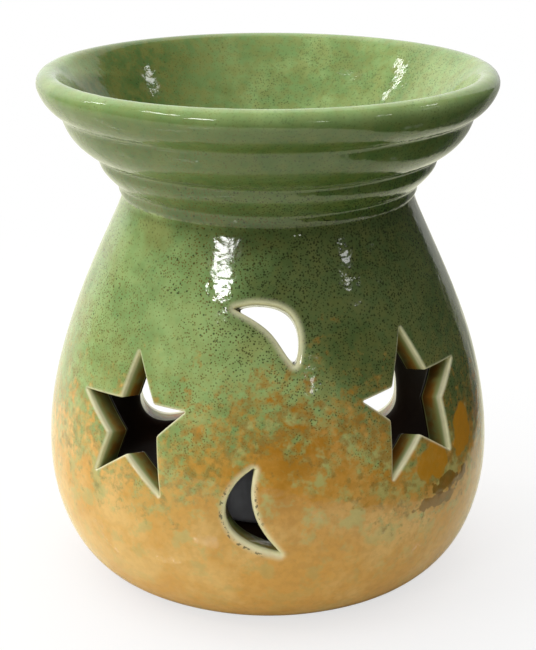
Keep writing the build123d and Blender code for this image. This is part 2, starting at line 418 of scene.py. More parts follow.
def burner_outline(shape):
    """Outside of the whole burner from its foot to the hollow's middle, as (radius, height) points:
    a quarter ellipse under the belly, a spline to the waist, a small ridge and three rings that each
    bend towards a point, the rolled rim and the spline of the hollow, with every crease softened."""
    belly_radius = BODY_HIGH[0]
    waist_height = DISH_LOW[2]
    rim_radius, top = DISH_HIGH[0], DISH_HIGH[2]
    lower = arc((shape.foot_radius, shape.belly_height),
                (belly_radius - shape.foot_radius, shape.belly_height), -pi / 2, 0, 160)
    run_in, rise = belly_radius - shape.waist_radius, waist_height - shape.belly_height
    belly = np.array((belly_radius, shape.belly_height))
    between = [belly + (-run_in * way_in, rise * way_up) for way_in, way_up in WALL_SHARES]
    waist = np.array((shape.waist_radius, waist_height))
    upper = spline_through([belly, *between, waist], 400, (0, 1), WAIST_SLOPE)
    centre = (rim_radius - shape.rim_roll, top - shape.rim_roll)
    roll = arc(centre, shape.rim_roll, RIM_ROLL_START, RIM_ROLL_END, 60)
    flare = np.array((rim_radius, centre[1])) - waist
    creases, bends = (
        [waist + flare * share for share in shares] for shares in (CREASE_SHARES, BEND_SHARES))
    ends = [waist, *creases, roll[0]]
    rings = [bent(*points) for points in zip(ends, bends, ends[1:])]
    floor = waist_height + shape.dish_floor
    rim = roll[-1]
    side = [(rim[0] * way_out, floor + (rim[1] - floor) * way_up) for way_out, way_up in HOLLOW_SHARES]
    hollow = spline_through([rim, *side, (0, floor)], 200, roll[-1] - roll[-2], (-1, 0))
    whole = even_steps(np.vstack((lower, upper, *rings, roll, hollow)), FINE_STEP)
    return softened(whole, shape.crease_softness)


def chamber_outline(shape, outside):
    """Inside of the chamber from the middle of its floor to the waist: the outside moved level inwards
    by the wall, over a flat floor with a rounded corner."""
    side = outside[outside[:, 1] >= shape.floor_height + shape.floor_corner] - (shape.wall, 0)
    corner_radius = side[0, 0] - shape.floor_corner
    corner = arc((corner_radius, shape.floor_height + shape.floor_corner), shape.floor_corner,
                 -pi / 2, 0)
    floor = np.array(((0, shape.floor_height), (corner_radius, shape.floor_height)))
    return softened(even_steps(np.vstack((floor, corner, side)), FINE_STEP), shape.crease_softness)


def star_outline(corner_shares):
    """Hand-cut star: its corners, each a share of the star's reach from the middle at its own angle,
    counted anticlockwise and joined by straight runs."""
    angles, shares = np.array(corner_shares).T
    corners = STAR_REACH * shares * np.array((np.cos(np.radians(angles)), np.sin(np.radians(angles))))
    return corners.T[::-1]


def moon_outline(length, tilt, back_shares, inner_shares):
    """Crescent: two splines from horn to horn, over its back and along its inner side, turned by its
    tilt."""
    ends = ((-length / 2, 0), (length / 2, 0))
    sides = []
    for shares in (back_shares, inner_shares):
        through = [(length * (along - 0.5), length * out) for along, out in shares]
        sides.append(spline_through([ends[0], *through, ends[1]], 80))
    turned_by = np.array(((cos(tilt), sin(tilt)), (-sin(tilt), cos(tilt))))
    return np.vstack((sides[1], sides[0][::-1])) @ turned_by


def doorway_outline():
    """Doorway: a half round over short upright sides, with rounded corners at its flat sill."""
    corner_out = DOORWAY_RADIUS - DOORWAY_CORNER
    corner_up = DOORWAY_SILL + DOORWAY_CORNER
    return np.vstack((
        arc((0, DOORWAY_SPRING), DOORWAY_RADIUS, 0, pi, 120),
        arc((-corner_out, corner_up), DOORWAY_CORNER, pi, 1.5 * pi),
        arc((corner_out, corner_up), DOORWAY_CORNER, 1.5 * pi, 2 * pi),
    ))


class Cut:
    """An opening through the wall: a closed outline on a flat frame, carried along the frame's axis.
    Its corners are softened by their own reach on each side of the wall, its lips are rounded by
    their own radii, and the glaze is thin over its halo round the outer lip."""

    def __init__(self, origin, across, up, axis, reach, outline, rounds, softness, halo):
        self.origin, self.across, self.up, self.axis = map(np.array, (origin, across, up, axis))
        self.reach, self.halo = reach, halo
        self.rounds = dict(zip(("outer", "inner"), rounds))
        even = even_steps(outline, FINE_STEP, closed=True)
        fine = softened(even, softness[0], closed=True)
        along = closer_at_corners(fine, OUTLINE_STEP)
        self.outlines, self.aways = {}, {}
        for side, soft in zip(("outer", "inner"), softness):
            whole = softened(even, soft, closed=True)
            whole = np.vstack((whole, whole[:1]))
            points = np.column_stack([np.interp(along, np.arange(len(whole)), c) for c in whole.T])
            ahead = np.roll(points, -1, axis=0) - np.roll(points, 1, axis=0)
            ahead /= np.linalg.norm(ahead, axis=1)[:, None]
            self.outlines[side] = points
            self.aways[side] = np.column_stack((ahead[:, 1], -ahead[:, 0]))

    def flat(self, places):
        """Places in space as the frame's own two coordinates."""
        return np.column_stack(((places - self.origin) @ self.across, (places - self.origin) @ self.up))

    def gap(self, flat, side):
        """Distance of each flat place from the outline, and EDGE_REACH for those further off."""
        outline = self.outlines[side]
        low, high = outline.min(axis=0) - EDGE_REACH, outline.max(axis=0) + EDGE_REACH
        near = np.flatnonzero(((flat > low) & (flat < high)).all(axis=1))
        run = np.roll(outline, -1, axis=0) - outline
        offset = flat[near, None, :] - outline[None]
        share = np.clip((offset * run).sum(-1) / (run**2).sum(-1), 0, 1)
        found = np.full(len(flat), EDGE_REACH)
        found[near] = np.linalg.norm(offset - share[..., None] * run, axis=-1).min(axis=1)
        return np.minimum(found, EDGE_REACH)

    def gap_outside(self, places, side):
        """Distance of each place from the outline, nothing for those within it, and EDGE_REACH for
        those on the burner's other side."""
        flat = self.flat(places)
        found = np.where(inside(self.outlines[side], flat), 0, self.gap(flat, side))
        return np.where(places @ self.axis > 0, found, EDGE_REACH)

    def sink(self, distance, side):
        """How far a lip falls away along the axis at a distance from the outline: a quarter round."""
        radius = self.rounds[side]
        near = np.clip(radius - distance, 0, radius)
        return radius - np.sqrt(radius**2 - near**2)


class Wall:
    """One side of the chamber's wall: its outline turned about the burner's axis, laid out flat as
    (turn times a mean radius, run along the outline)."""

    def __init__(self, outline, mean_radius, side):
        self.outline, self.mean_radius, self.side = outline, mean_radius, side
        lengths = np.linalg.norm(np.diff(outline, axis=0), axis=1)
        self.run = np.concatenate(([0], np.cumsum(lengths)))

    def places(self, turn, run, wave=0.0):
        """Points in space by turn from the front and run along the outline. The radius strays from a
        true round by slow waves of turn and height."""
        radius = np.interp(run, self.run, self.outline[:, 0])
        height = np.interp(run, self.run, self.outline[:, 1])
        radius = radius + wave * hand_wave(turn, height) * np.minimum(radius / WAVE_FADE, 1)
        return np.column_stack((radius * np.sin(turn), -radius * np.cos(turn), height))

    def under(self, cut, flat):
        """Turn and run of the points where lines through flat places along the cut's axis meet this
        wall, found by halving the cut's reach of distances along the axis."""
        start = cut.origin + flat[:, :1] * cut.across + flat[:, 1:] * cut.up
        low, high = (np.full(len(flat), limit) for limit in cut.reach)
        for _ in range(HALVINGS):
            middle = (low + high) / 2
            place = start + middle[:, None] * cut.axis
            outside = np.hypot(place[:, 0], place[:, 1]) > np.interp(
                place[:, 2], self.outline[:, 1], self.outline[:, 0])
            low, high = np.where(outside, low, middle), np.where(outside, middle, high)
        turn = SEAM_TURN + (np.arctan2(place[:, 0], -place[:, 1]) - SEAM_TURN) % (2 * pi)
        return turn, np.interp(place[:, 2], self.outline[:, 1], self.run)


def hand_wave(turn, height):
    """Slow waves round and up the clay, between about -1 and 1, the same at a turn and a full turn on."""
    return (0.5 * np.sin(2 * turn + 90 * height) + 0.3 * np.sin(5 * turn - 140 * height + 1)
            + 0.2 * np.cos(9 * turn + 210 * height))


def wall_sheet(wall, cuts, step, run_start, wave):
    """Wall laid flat and filled with triangles round its openings: staggered rows of points a step
    apart, closer rings of points along each lip, and the outlines as edges that no triangle crosses.
    Each point goes back to its place in space, sunk along the opening's axis where the lip rounds.
    Gives the points, the triangles, each point's run and share of the way out of a halo, and the
    outlines."""
    rows = 2 * int(round((wall.run[-1] - run_start) / step / 2))
    row, column = np.meshgrid(np.arange(rows + 1), np.arange(COLUMNS + 2), indexing="ij")
    odd = row % 2
    spot = np.clip(column - 0.5 * odd, 0, COLUMNS)
    used = (odd == 1) | (column <= COLUMNS)
    turn = SEAM_TURN + 2 * pi / COLUMNS * spot[used]
    run = run_start + (wall.run[-1] - run_start) / rows * row[used]

    clear = np.ones(len(turn), dtype=bool)
    turns, runs, edges, loops = [], [], [], []
    count = 0
    for cut in cuts:
        radius = cut.rounds[wall.side]
        clear &= cut.gap_outside(wall.places(turn, run), wall.side) > radius + FIRST_POINTS * step
        for distance in (*radius * (1 - np.cos(LIP_ANGLES)), radius + LAST_RING * step):
            flat = cut.outlines[wall.side] + distance * cut.aways[wall.side]
            if distance == 0:
                loop = np.arange(len(flat)) + count
                loops.append(loop)
                edges += np.column_stack((loop, np.roll(loop, -1))).tolist()
            else:
                flat = flat[cut.gap(flat, wall.side) > KEPT_SHARE * distance]
            ring_turn, ring_run = wall.under(cut, flat)
            turns.append(ring_turn)
            runs.append(ring_run)
            count += len(ring_turn)
    turn = np.concatenate((*turns, turn[clear]))
    run = np.concatenate((*runs, run[clear]))
    laid = np.column_stack((turn * wall.mean_radius, run))
    found = delaunay_2d_cdt([Vector(point) for point in laid.tolist()], edges, [], 0, 1e-8, True)
    if not all(found[3]):
        raise RuntimeError("The openings' outlines cross on the " + wall.side + " wall.")
    origin = np.array([sources[0] for sources in found[3]])
    triangles = origin[np.array(found[2])]
    middle = laid[triangles].mean(axis=1)
    for loop in loops:
        kept = ~inside(laid[loop], middle)
        triangles, middle = triangles[kept], middle[kept]

    true_places = wall.places(turn, run)
    places = wall.places(turn, run, wave)
    sign = -1 if wall.side == "outer" else 1
    share = np.ones(len(places))
    for cut in cuts:
        gap = cut.gap_outside(true_places, wall.side)
        places += sign * cut.sink(gap, wall.side)[:, None] * cut.axis
        share = np.minimum(share, gap / cut.halo)
    return places, triangles, run, share, loops


def grid_faces(rows, columns, closed=False):
    """Four-sided faces of a grid of points that are counted row by row."""
    row, column = np.meshgrid(np.arange(rows - 1), np.arange(columns - (not closed)), indexing="ij")
    beside = (column + 1) % columns
    corners = (row * columns + column, row * columns + beside,
               (row + 1) * columns + beside, (row + 1) * columns + column)
    return np.stack(corners, axis=-1).reshape(-1, 4)


def turned(outline, columns, wave=0.0):
    """Outline turned about the burner's axis, row by row from its first point, with the hand's wave."""
    wall = Wall(outline, 1.0, "turned")
    turn = SEAM_TURN + 2 * pi / columns * np.arange(columns)
    run, turn = np.meshgrid(wall.run, turn, indexing="ij")
    return wall.places(turn.ravel(), run.ravel(), wave), grid_faces(len(outline), columns, closed=True)


def pooling(outline):
    """How hollow an outline is at each point: how fast its direction turns, in radians per millimetre,
    above zero in a crease and below it on a ridge, and no more than 1 either way."""
    ahead = np.gradient(softened(outline, POOL_REACH), axis=0)
    angle = np.unwrap(np.arctan2(ahead[:, 1], ahead[:, 0]))
    return np.clip(-np.gradient(angle) / np.linalg.norm(ahead, axis=1) * MILLIMETRE, -1, 1)


def split_at_height(outline, height):
    """Outline up to where it first reaches a height, and from there on, with that point in both."""
    after = int(np.argmax(outline[:, 1] >= height))
    low, high = outline[after - 1], outline[after]
    point = low + (high - low) * (height - low[1]) / (high[1] - low[1])
    point[1] = height
    return np.vstack((outline[:after], point)), np.vstack((point, outline[after:]))


def wall_cut(place, outside, outline, rounds, softness, halo):
    """Opening cut square to the outside of the wall at a turn from the front and a height."""
    turn, height = place
    after = int(np.argmax(outside[:, 1] >= height))
    rise = outside[after + SLOPE_SPAN] - outside[after - SLOPE_SPAN]
    rise /= np.linalg.norm(rise)
    radius = np.interp(height, outside[:, 1], outside[:, 0])
    outwards = np.array((sin(turn), -cos(turn), 0))
    upright = np.array((0, 0, 1))
    return Cut(
        origin=radius * outwards + height * upright,
        across=(cos(turn), sin(turn), 0),
        up=rise[0] * outwards + rise[1] * upright,
        axis=rise[1] * outwards - rise[0] * upright,
        reach=WALL_CUT_REACH,
        outline=outline,
        rounds=rounds,
        softness=softness,
        halo=halo,
    )


def make_piece(name, parts, body, node):
    """Join parts, each its points, its faces and values for its points, into one closed mesh with its
    faces outwards, and let it stand for its CAD node."""
    points, faces, values = [], [], {}
    count = 0
    for part_points, part_faces, part_values in parts:
        points.append(part_points)
        faces += (np.asarray(part_faces) + count).tolist()
        for key in ("gap", "depth", "pool", "under"):
            values.setdefault(key, []).append(
                np.broadcast_to(part_values.get(key, 0.0), len(part_points)))
        count += len(part_points)
    mesh = bpy.data.meshes.new(name)
    mesh.from_pydata(np.vstack(points).tolist(), [], faces)
    for key, arrays in values.items():
        layer = mesh.attributes.new(key, "FLOAT", "POINT")
        layer.data.foreach_set("value", np.concatenate(arrays).astype(np.float32))
    shell = bmesh.new()
    shell.from_mesh(mesh)
    bmesh.ops.remove_doubles(shell, verts=shell.verts, dist=MERGE_REACH)
    bmesh.ops.recalc_face_normals(shell, faces=shell.faces)
    open_edges = sum(len(edge.link_faces) != 2 for edge in shell.edges)
    shell.to_mesh(mesh)
    shell.free()
    if open_edges:
        raise RuntimeError(f"{name} has {open_edges} edges without two faces.")
    mesh.polygons.foreach_set("use_smooth", np.ones(len(mesh.polygons), dtype=bool))
    mesh.set_sharp_from_angle(angle=SHARP_ANGLE)
    piece = bpy.data.objects.new(name, mesh)
    bpy.context.scene.collection.objects.link(piece)
    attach(piece, body)
    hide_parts(node)
    return piece


def chamber_parts(shape):
    """Surfaces of the chamber: both sides of its wall with their openings, the tunnels between them,
    the floor, the foot with its recess, and the top ring that the dish stands on."""
    whole = burner_outline(shape)
    outside, _ = split_at_height(whole, DISH_LOW[2])
    inner = chamber_outline(shape, outside)
    inner, _ = split_at_height(np.vstack((inner, inner[-1] + (0, FINE_STEP))), DISH_LOW[2])
    star_rounds = (shape.star_lip_round, shape.inner_lip_round)
    moon_rounds = (shape.moon_lip_round, shape.inner_lip_round)
    cuts = [
        *(wall_cut(spot, outside, star_outline(shares), star_rounds, STAR_SOFTNESS, STAR_HALO)
          for spot, shares in ((LEFT_STAR_PLACE, LEFT_STAR_SHARES),
                               (RIGHT_STAR_PLACE, RIGHT_STAR_SHARES))),
        *(wall_cut(spot, outside, moon_outline(**moon), moon_rounds, MOON_SOFTNESS, MOON_HALO)
          for spot, moon in ((UPPER_MOON_PLACE, UPPER_MOON), (LOWER_MOON_PLACE, LOWER_MOON))),
        Cut((0, 0, 0), (-1, 0, 0), (0, 0, 1), (0, 1, 0), DOORWAY_REACH, doorway_outline(),
            (shape.doorway_lip_round, shape.inner_lip_round), STAR_SOFTNESS, DOORWAY_HALO),
    ]
    outer_wall = Wall(outside, MEAN_RADIUS, "outer")
    inner_wall = Wall(inner, MEAN_RADIUS - shape.wall, "inner")
    floor_run = np.interp(FLOOR_DISC, inner[:, 0], inner_wall.run)
    outer, outer_faces, run, gap, outer_loops = wall_sheet(
        outer_wall, cuts, OUTER_STEP, 0.0, shape.hand_wave)
    pool = np.interp(run, outer_wall.run, pooling(outside))
    parts = [(outer, outer_faces, {"gap": gap, "pool": pool})]
    inner_points, inner_faces, run, gap, inner_loops = wall_sheet(
        inner_wall, cuts, INNER_STEP, floor_run, shape.hand_wave)
    parts.append((inner_points, inner_faces, {"gap": gap, "depth": 1.0}))

    share = np.linspace(0, 1, TUNNEL_ROWS)
    for outer_loop, inner_loop in zip(outer_loops, inner_loops):
        start, end = outer[outer_loop], inner_points[inner_loop]
        rows = start[None] * (1 - share[:, None, None]) + end[None] * share[:, None, None]
        parts.append((rows.reshape(-1, 3), grid_faces(TUNNEL_ROWS, len(start), closed=True),
                      {"depth": np.repeat(share, len(start))}))

    floor = even_steps(np.array(((0, inner[0, 1]), (FLOOR_DISC, inner[0, 1]))), FLOOR_STEP)
    parts.append((*turned(floor, COLUMNS, shape.hand_wave), {"gap": 1.0, "depth": 1.0}))
    ring_edge = shape.foot_radius - shape.foot_ring
    foot = np.vstack((
        (shape.foot_radius, 0),
        (ring_edge + FOOT_ROUND, 0),
        arc((ring_edge + FOOT_ROUND, FOOT_ROUND), FOOT_ROUND, 1.5 * pi, pi, 8)[1:],
        (ring_edge, shape.foot_recess),
        (0, shape.foot_recess),
    ))
    parts.append((*turned(foot, COLUMNS, shape.hand_wave), {"gap": 1.0}))
    top = np.vstack((outside[-1], inner[-1]))
    parts.append((*turned(top, COLUMNS, shape.hand_wave), {"gap": 1.0}))
    return parts


def dish_parts(shape):
    """Surface of the dish: the burner's outline above the waist turned about its axis, closed by a
    flat bottom. Its under value rises from the rim's top down the outside; it lays the rings' deeper
    green and painted shade under the rim."""
    whole = burner_outline(shape)
    _, upper = split_at_height(whole, DISH_LOW[2])
    upper = even_steps(upper, DISH_STEP)
    bottom = even_steps(np.array(((0, DISH_LOW[2]), upper[0])), DISH_BOTTOM_STEP)
    upper[-1, 0] = 0
    pool = np.repeat(pooling(upper), DISH_COLUMNS)
    outside = np.arange(len(upper)) <= np.argmax(upper[:, 1])
    under = np.clip((DISH_HIGH[2] - upper[:, 1]) / (1.4 * shape.rim_roll), 0, 1) * outside
    return [
        (*turned(upper, DISH_COLUMNS, shape.hand_wave),
         {"gap": 1.0, "pool": pool, "under": np.repeat(under, DISH_COLUMNS)}),
        (*turned(bottom, DISH_COLUMNS, shape.hand_wave), {"gap": 1.0}),
    ]


def place(tree, kind, inputs=None, **settings):
    """Add a node to a tree, set it up, and fill its inputs with links or plain values."""
    node = tree.nodes.new(kind)
    for name, value in settings.items():
        setattr(node, name, value)
    for name, value in (inputs or {}).items():
        socket = node.inputs[name]
        if isinstance(value, bpy.types.NodeSocket):
            tree.links.new(value, socket)
        else:
            socket.default_value = value
    return node


def maths(tree, operation, *values, clamp=False):
    """Result of one sum on links or numbers."""
    inputs = dict(enumerate(values))
    return place(tree, "ShaderNodeMath", inputs, operation=operation, use_clamp=clamp).outputs[0]


def times(tree, product, *values):
    """Product of links or numbers, from the first to the last."""
    for value in values:
        product = maths(tree, "MULTIPLY", product, value)
    return product


def between(tree, value, low, high, start=0.0, end=1.0):
    """Value carried smoothly from start to end while it goes from low to high."""
    inputs = {"Value": value, "From Min": low, "From Max": high, "To Min": start, "To Max": end}
    return place(tree, "ShaderNodeMapRange", inputs, interpolation_type="SMOOTHSTEP").outputs["Result"]


def blended(tree, share, first, second):
    """Colour that goes from the first to the second by a share."""
    first, second = (
        (*colour, 1.0) if not isinstance(colour, bpy.types.NodeSocket) and len(colour) == 3 else colour
        for colour in (first, second))
    inputs = {0: share, 6: first, 7: second}
    return place(tree, "ShaderNodeMix", inputs, data_type="RGBA").outputs[2]


def group_tree(name, inputs, outputs):
    """Empty shader node group with named inputs, each with its default, and named outputs."""
    tree = bpy.data.node_groups.new(name, "ShaderNodeTree")
    for label, kind, default in inputs:
        socket = tree.interface.new_socket(name=label, in_out="INPUT", socket_type=kind)
        if default is not None:
            socket.default_value = default
    for label, kind in outputs:
        tree.interface.new_socket(name=label, in_out="OUTPUT", socket_type=kind)
    return tree, place(tree, "NodeGroupInput").outputs, place(tree, "NodeGroupOutput").inputs


def cloud_group():
    """Soft clouds of glaze: noise of a size in metres, as it is and as a mask between two levels."""
    tree, given, out = group_tree("glaze_clouds", (
        ("Vector", "NodeSocketVector", None),
        ("Size", "NodeSocketFloat", 0.01),
        ("Seed", "NodeSocketFloat", 0.0),
        ("Detail", "NodeSocketFloat", 4.0),
        ("Low", "NodeSocketFloat", 0.4),
        ("High", "NodeSocketFloat", 0.6),
    ), (("Value", "NodeSocketFloat"), ("Mask", "NodeSocketFloat")))
    noise = place(tree, "ShaderNodeTexNoise", {
        "Vector": given["Vector"],
        "W": given["Seed"],
        "Scale": maths(tree, "DIVIDE", 1.0, given["Size"]),
        "Detail": given["Detail"],
        "Roughness": 0.6,
    }, noise_dimensions="4D").outputs["Fac"]
    tree.links.new(noise, out["Value"])
    tree.links.new(between(tree, noise, given["Low"], given["High"]), out["Mask"])
    return tree


def speck_group():
    """Tiny round dots: the near surroundings of points scattered a spacing apart, each dot with its
    own size, and only a share of them there."""
    tree, given, out = group_tree("glaze_specks", (
        ("Vector", "NodeSocketVector", None),
        ("Spacing", "NodeSocketFloat", 0.0005),
        ("Size", "NodeSocketFloat", 0.3),
        ("Share", "NodeSocketFloat", 1.0),
    ), (("Mask", "NodeSocketFloat"),))
    cells = place(tree, "ShaderNodeTexVoronoi", {
        "Vector": given["Vector"],
        "Scale": maths(tree, "DIVIDE", 1.0, given["Spacing"]),
    }, voronoi_dimensions="3D", feature="F1")
    chance = place(tree, "ShaderNodeSeparateColor", {"Color": cells.outputs["Color"]}).outputs
    reach = times(tree, given["Size"], maths(tree, "MULTIPLY_ADD", chance[0], 0.35, 0.65))
    dot = between(tree, cells.outputs["Distance"], times(tree, reach, 0.6), reach, 1.0, 0.0)
    there = maths(tree, "LESS_THAN", chance[1], given["Share"])
    tree.links.new(times(tree, dot, there), out["Mask"])
    return tree


def ripple_group():
    """Height of a fired surface: slow waves, an orange-peel skin and fine ripples, added together."""
    tree, given, out = group_tree("fired_ripples", (
        ("Vector", "NodeSocketVector", None),
        ("Wave Size", "NodeSocketFloat", 0.008),
        ("Peel Size", "NodeSocketFloat", 0.0022),
        ("Wave Share", "NodeSocketFloat", 1.0),
        ("Peel Share", "NodeSocketFloat", 0.4),
        ("Fine Share", "NodeSocketFloat", 0.1),
    ), (("Height", "NodeSocketFloat"),))
    total = 0.0
    for size, share in (("Wave Size", "Wave Share"), ("Peel Size", "Peel Share"), (0.0007, "Fine Share")):
        scale = maths(tree, "DIVIDE", 1.0, given[size] if isinstance(size, str) else size)
        noise = place(tree, "ShaderNodeTexNoise", {
            "Vector": given["Vector"], "Scale": scale, "Detail": 1.0, "Roughness": 0.5,
        }).outputs["Fac"]
        total = maths(tree, "MULTIPLY_ADD", noise, given[share], total)
    tree.links.new(total, out["Height"])
    return tree


def grouped(tree, name, build, inputs, output):
    """Place a node group, built the first time that its name is asked for, and give one output."""
    group = bpy.data.node_groups.get(name) or build()
    return place(tree, "ShaderNodeGroup", inputs, node_tree=group).outputs[output]


def clouds(tree, vector, size, seed, low=0.4, high=0.6, detail=4.0, output="Mask"):
    """Place the cloud group with its values and give one of its outputs."""
    inputs = {"Vector": vector, "Size": size, "Seed": seed, "Detail": detail, "Low": low, "High": high}
    return grouped(tree, "glaze_clouds", cloud_group, inputs, output)


def new_material(name):
    """Material of that name with a Principled shader, as its tree, its shader and Object places."""
    material = bpy.data.materials.new(name)
    material.use_nodes = True
    tree = material.node_tree
    shader = tree.nodes["Principled BSDF"]
    vector = place(tree, "ShaderNodeTexCoord").outputs["Object"]
    return material, tree, shader, vector


def give_material(piece, material):
    """Put one material on all of a piece."""
    piece.data.materials.clear()
    piece.data.materials.append(material)


def bumped(tree, shader, height, distance):
    """Let the shader's normal follow a height, whose full range is a distance in metres."""
    bump = place(tree, "ShaderNodeBump", {"Height": height, "Distance": distance, "Strength": 1.0})
    tree.links.new(bump.outputs["Normal"], shader.inputs["Normal"])


def clouded(tree, shader, vector, cloud, tones, roughness):
    """Let the shader's colour and roughness drift between two tones and two values in clouds of a
    size, seed and two levels, and give the clouds."""
    shade = clouds(tree, vector, *cloud)
    tree.links.new(blended(tree, shade, *tones), shader.inputs["Base Color"])
    tree.links.new(between(tree, shade, 0.0, 1.0, *roughness), shader.inputs["Roughness"])
    return shade


def dimmed(colour, share):
    """A share of a colour, and the colour itself."""
    return tuple(share * value for value in colour), tuple(colour)


def green_glaze(tree, vector, across, along, height, under, colours):
    """Upper glaze: two greens in clouds, olive that drifts over the right shoulder and, as painted
    shade, just under the dish; deep green on the rings, also painted shade under the rim and on the
    hollow's left; straw clouds and grain, and specks that are fewer and browner on the left."""
    colour = blended(tree, clouds(tree, vector, 0.012, 1.0, 0.40, 0.62), colours.leaf_green,
                     colours.fresh_green)
    stray = maths(tree, "SUBTRACT", clouds(tree, vector, 0.012, 2.0, output="Value"), 0.5)
    side = maths(tree, "MULTIPLY_ADD", stray, 0.03, across)
    raised = maths(tree, "ADD", height, times(tree, side, 0.75))
    drift = times(tree, between(tree, side, -0.018, 0.006), between(tree, raised, 0.050, 0.074))
    # Painted shade: a band of olive just under the dish.
    painted_neck_shade = times(tree, between(tree, height, 0.073, 0.081), between(tree, side, -0.024, -0.005))
    drift = times(tree, maths(tree, "MAXIMUM", drift, painted_neck_shade),
                  between(tree, height, 0.0835, 0.087, 1.0, 0.0), 0.8)
    # Painted shade: the hollow's left side is darkened towards the deep ring green.
    hollow = times(tree, between(tree, height, 0.086, 0.092), maths(tree, "SUBTRACT", 1.0, under))
    inner = maths(tree, "MAXIMUM", between(tree, height, 0.104, 0.108, 1.0, 0.0),
                  between(tree, along, 0.005, 0.025))
    shade = times(tree, hollow, inner, between(tree, across, -0.032, 0.010, 0.8, 0.0))
    # The dish's outside below the rim's top takes the ring green: the rings' deeper glaze and painted
    # shade under the rim.
    shade = maths(tree, "MAXIMUM", shade, times(tree, under, 0.75))
    colour = blended(tree, drift, colour, colours.olive)
    colour = blended(tree, shade, colour, colours.ring_green_and_shade)
    drift = maths(tree, "MAXIMUM", drift, shade)

    warm = times(tree, clouds(tree, vector, 0.014, 3.0, 0.50, 0.68),
                 maths(tree, "MULTIPLY_ADD", drift, -0.4, 0.4))
    grain = clouds(tree, vector, 0.0022, 4.0, 0.35, 0.65)
    low_left = times(tree, between(tree, across, -0.044, -0.030, 0.7, 0.0),
                     between(tree, height, 0.060, 0.078, 1.0, 0.0))
    for grained in (times(tree, grain, between(tree, height, 0.050, 0.066, 0.35, 0.16)),
                    times(tree, hollow, times(tree, grain, 0.35)), times(tree, grain, low_left)):
        warm = maths(tree, "MAXIMUM", warm, grained)
    colour = blended(tree, warm, colour, colours.straw)

    crowd = clouds(tree, vector, 0.016, 5.0, 0.36, 0.58)
    coarse = times(tree, between(tree, height, 0.056, 0.072),
                   between(tree, side, -0.020, 0.004, 0.3, 1.0),
                   between(tree, height, 0.0825, 0.086, 1.0, 0.35))
    browner = blended(tree, between(tree, side, -0.016, 0.002), colours.freckle, colours.speck)
    strength = times(tree, between(tree, maths(tree, "MAXIMUM", drift, crowd), 0.2, 1.0, 0.45, 0.8),
                     between(tree, height, 0.086, 0.098, 1.0, 0.5))
    crowded = maths(tree, "MULTIPLY_ADD", crowd, 0.45, 0.7)
    for spacing, size, spread, tone in (
            (0.00066, 0.44, coarse, colours.speck),
            (0.00048, 0.50, between(tree, height, 0.050, 0.064, 1.0, 0.7), browner)):
        inputs = {"Vector": vector, "Spacing": spacing, "Size": size,
                  "Share": times(tree, crowded, spread)}
        specks = grouped(tree, "glaze_specks", speck_group, inputs, "Mask")
        colour = blended(tree, times(tree, specks, strength), colour, tone)
    return colour


def stain_group():
    """Patch of run glaze: an ellipsoid round a place, its rim broken up by noise."""
    tree, given, out = group_tree("glaze_stain", (
        ("Vector", "NodeSocketVector", None),
        ("Place", "NodeSocketVector", None),
        ("Reach", "NodeSocketVector", None),
        ("Noise Size", "NodeSocketFloat", 0.004),
        ("Noise Share", "NodeSocketFloat", 1.0),
    ), (("Mask", "NodeSocketFloat"),))
    away = place(tree, "ShaderNodeVectorMath", {0: given["Vector"], 1: given["Place"]},
                 operation="SUBTRACT").outputs[0]
    away = place(tree, "ShaderNodeVectorMath", {0: away, 1: given["Reach"]}, operation="DIVIDE").outputs[0]
    length = place(tree, "ShaderNodeVectorMath", {0: away}, operation="LENGTH").outputs["Value"]
    noise = place(tree, "ShaderNodeTexNoise", {
        "Vector": given["Vector"], "Scale": maths(tree, "DIVIDE", 1.0, given["Noise Size"]), "Detail": 2.0,
    }).outputs["Fac"]
    broken = maths(tree, "MULTIPLY_ADD", maths(tree, "SUBTRACT", noise, 0.5), given["Noise Share"], length)
    tree.links.new(between(tree, broken, 0.9, 1.05, 1.0, 0.0), out["Mask"])
    return tree


def honey_glaze(tree, vector, across, height, colours):
    """Lower glaze: honey and biscuit clouds, amber and its grain that deepen upwards and to the right,
    and sage spots that thin out downwards, with a faint veil of sage left of the middle."""
    colour = blended(tree, clouds(tree, vector, 0.014, 6.0, 0.40, 0.64), colours.honey, colours.biscuit)
    deep = maths(tree, "MULTIPLY_ADD", clouds(tree, vector, 0.007, 7.0, 0.42, 0.62), 0.4, 0.6)
    deep = times(tree, between(tree, height, 0.010, 0.044), deep,
                 between(tree, across, -0.028, 0.004, 0.1, 1.0))
    grain = times(tree, clouds(tree, vector, 0.0016, 9.0, 0.42, 0.62),
                  between(tree, height, 0.008, 0.040, 0.2, 0.45),
                  between(tree, across, -0.028, 0.004, 0.5, 1.0))
    colour = blended(tree, grain, blended(tree, deep, colour, colours.amber), colours.amber)
    spots = times(tree, clouds(tree, vector, 0.0042, 8.0, 0.49, 0.64, 3.0),
                  between(tree, height, 0.006, 0.046, 0.15, 0.9))
    veil = times(tree, between(tree, across, -0.036, -0.026),
                 between(tree, across, -0.012, 0.0, 1.0, 0.0),
                 between(tree, height, 0.018, 0.034, 0.0, 0.2),
                 clouds(tree, vector, 0.009, 10.0, 0.3, 0.6))
    return blended(tree, maths(tree, "MAXIMUM", spots, veil), colour, colours.sage)


